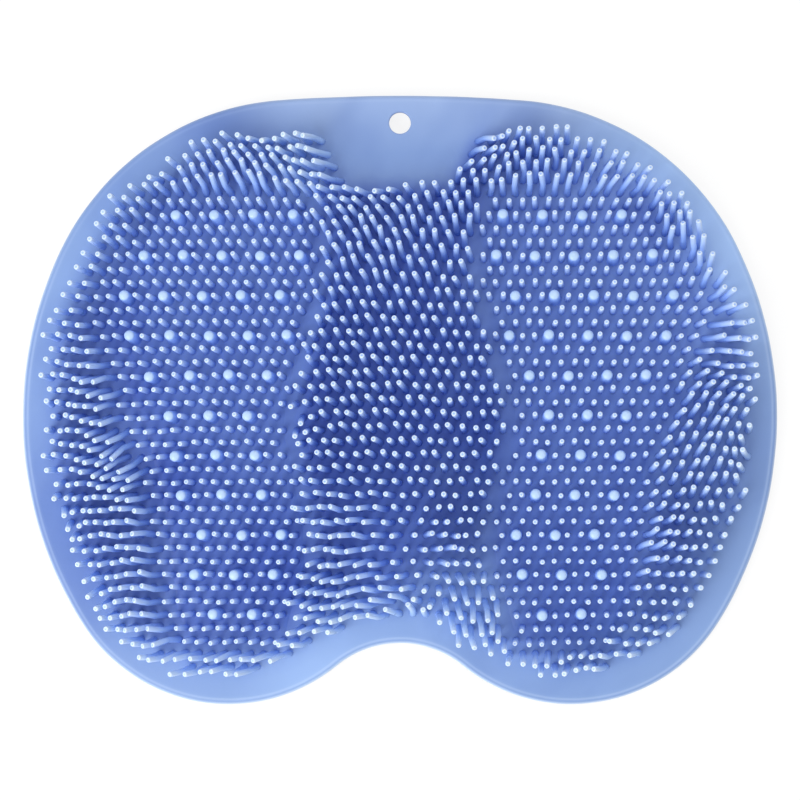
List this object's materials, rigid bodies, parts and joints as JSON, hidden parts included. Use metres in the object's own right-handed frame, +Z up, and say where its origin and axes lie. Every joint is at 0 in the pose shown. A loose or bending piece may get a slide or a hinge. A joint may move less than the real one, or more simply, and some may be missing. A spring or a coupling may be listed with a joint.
{
  "type": "shower foot scrubber",
  "caption": "Soft silicone mat with bristles and knobs for scrubbing both feet, held to the shower floor by suction cups and hung up by its hole.",
  "frame": {"origin": "on the floor under the middle of the mat", "axes": "+X to the right across the mat, +Y towards the hanging hole, +Z up"},
  "size_m": [0.3, 0.242, 0.0227],
  "materials": {
    "silicone": "satin"
  },
  "bodies": {
    "root": {"scrubber_mat": "silicone"}
  },
  "joints": []
}
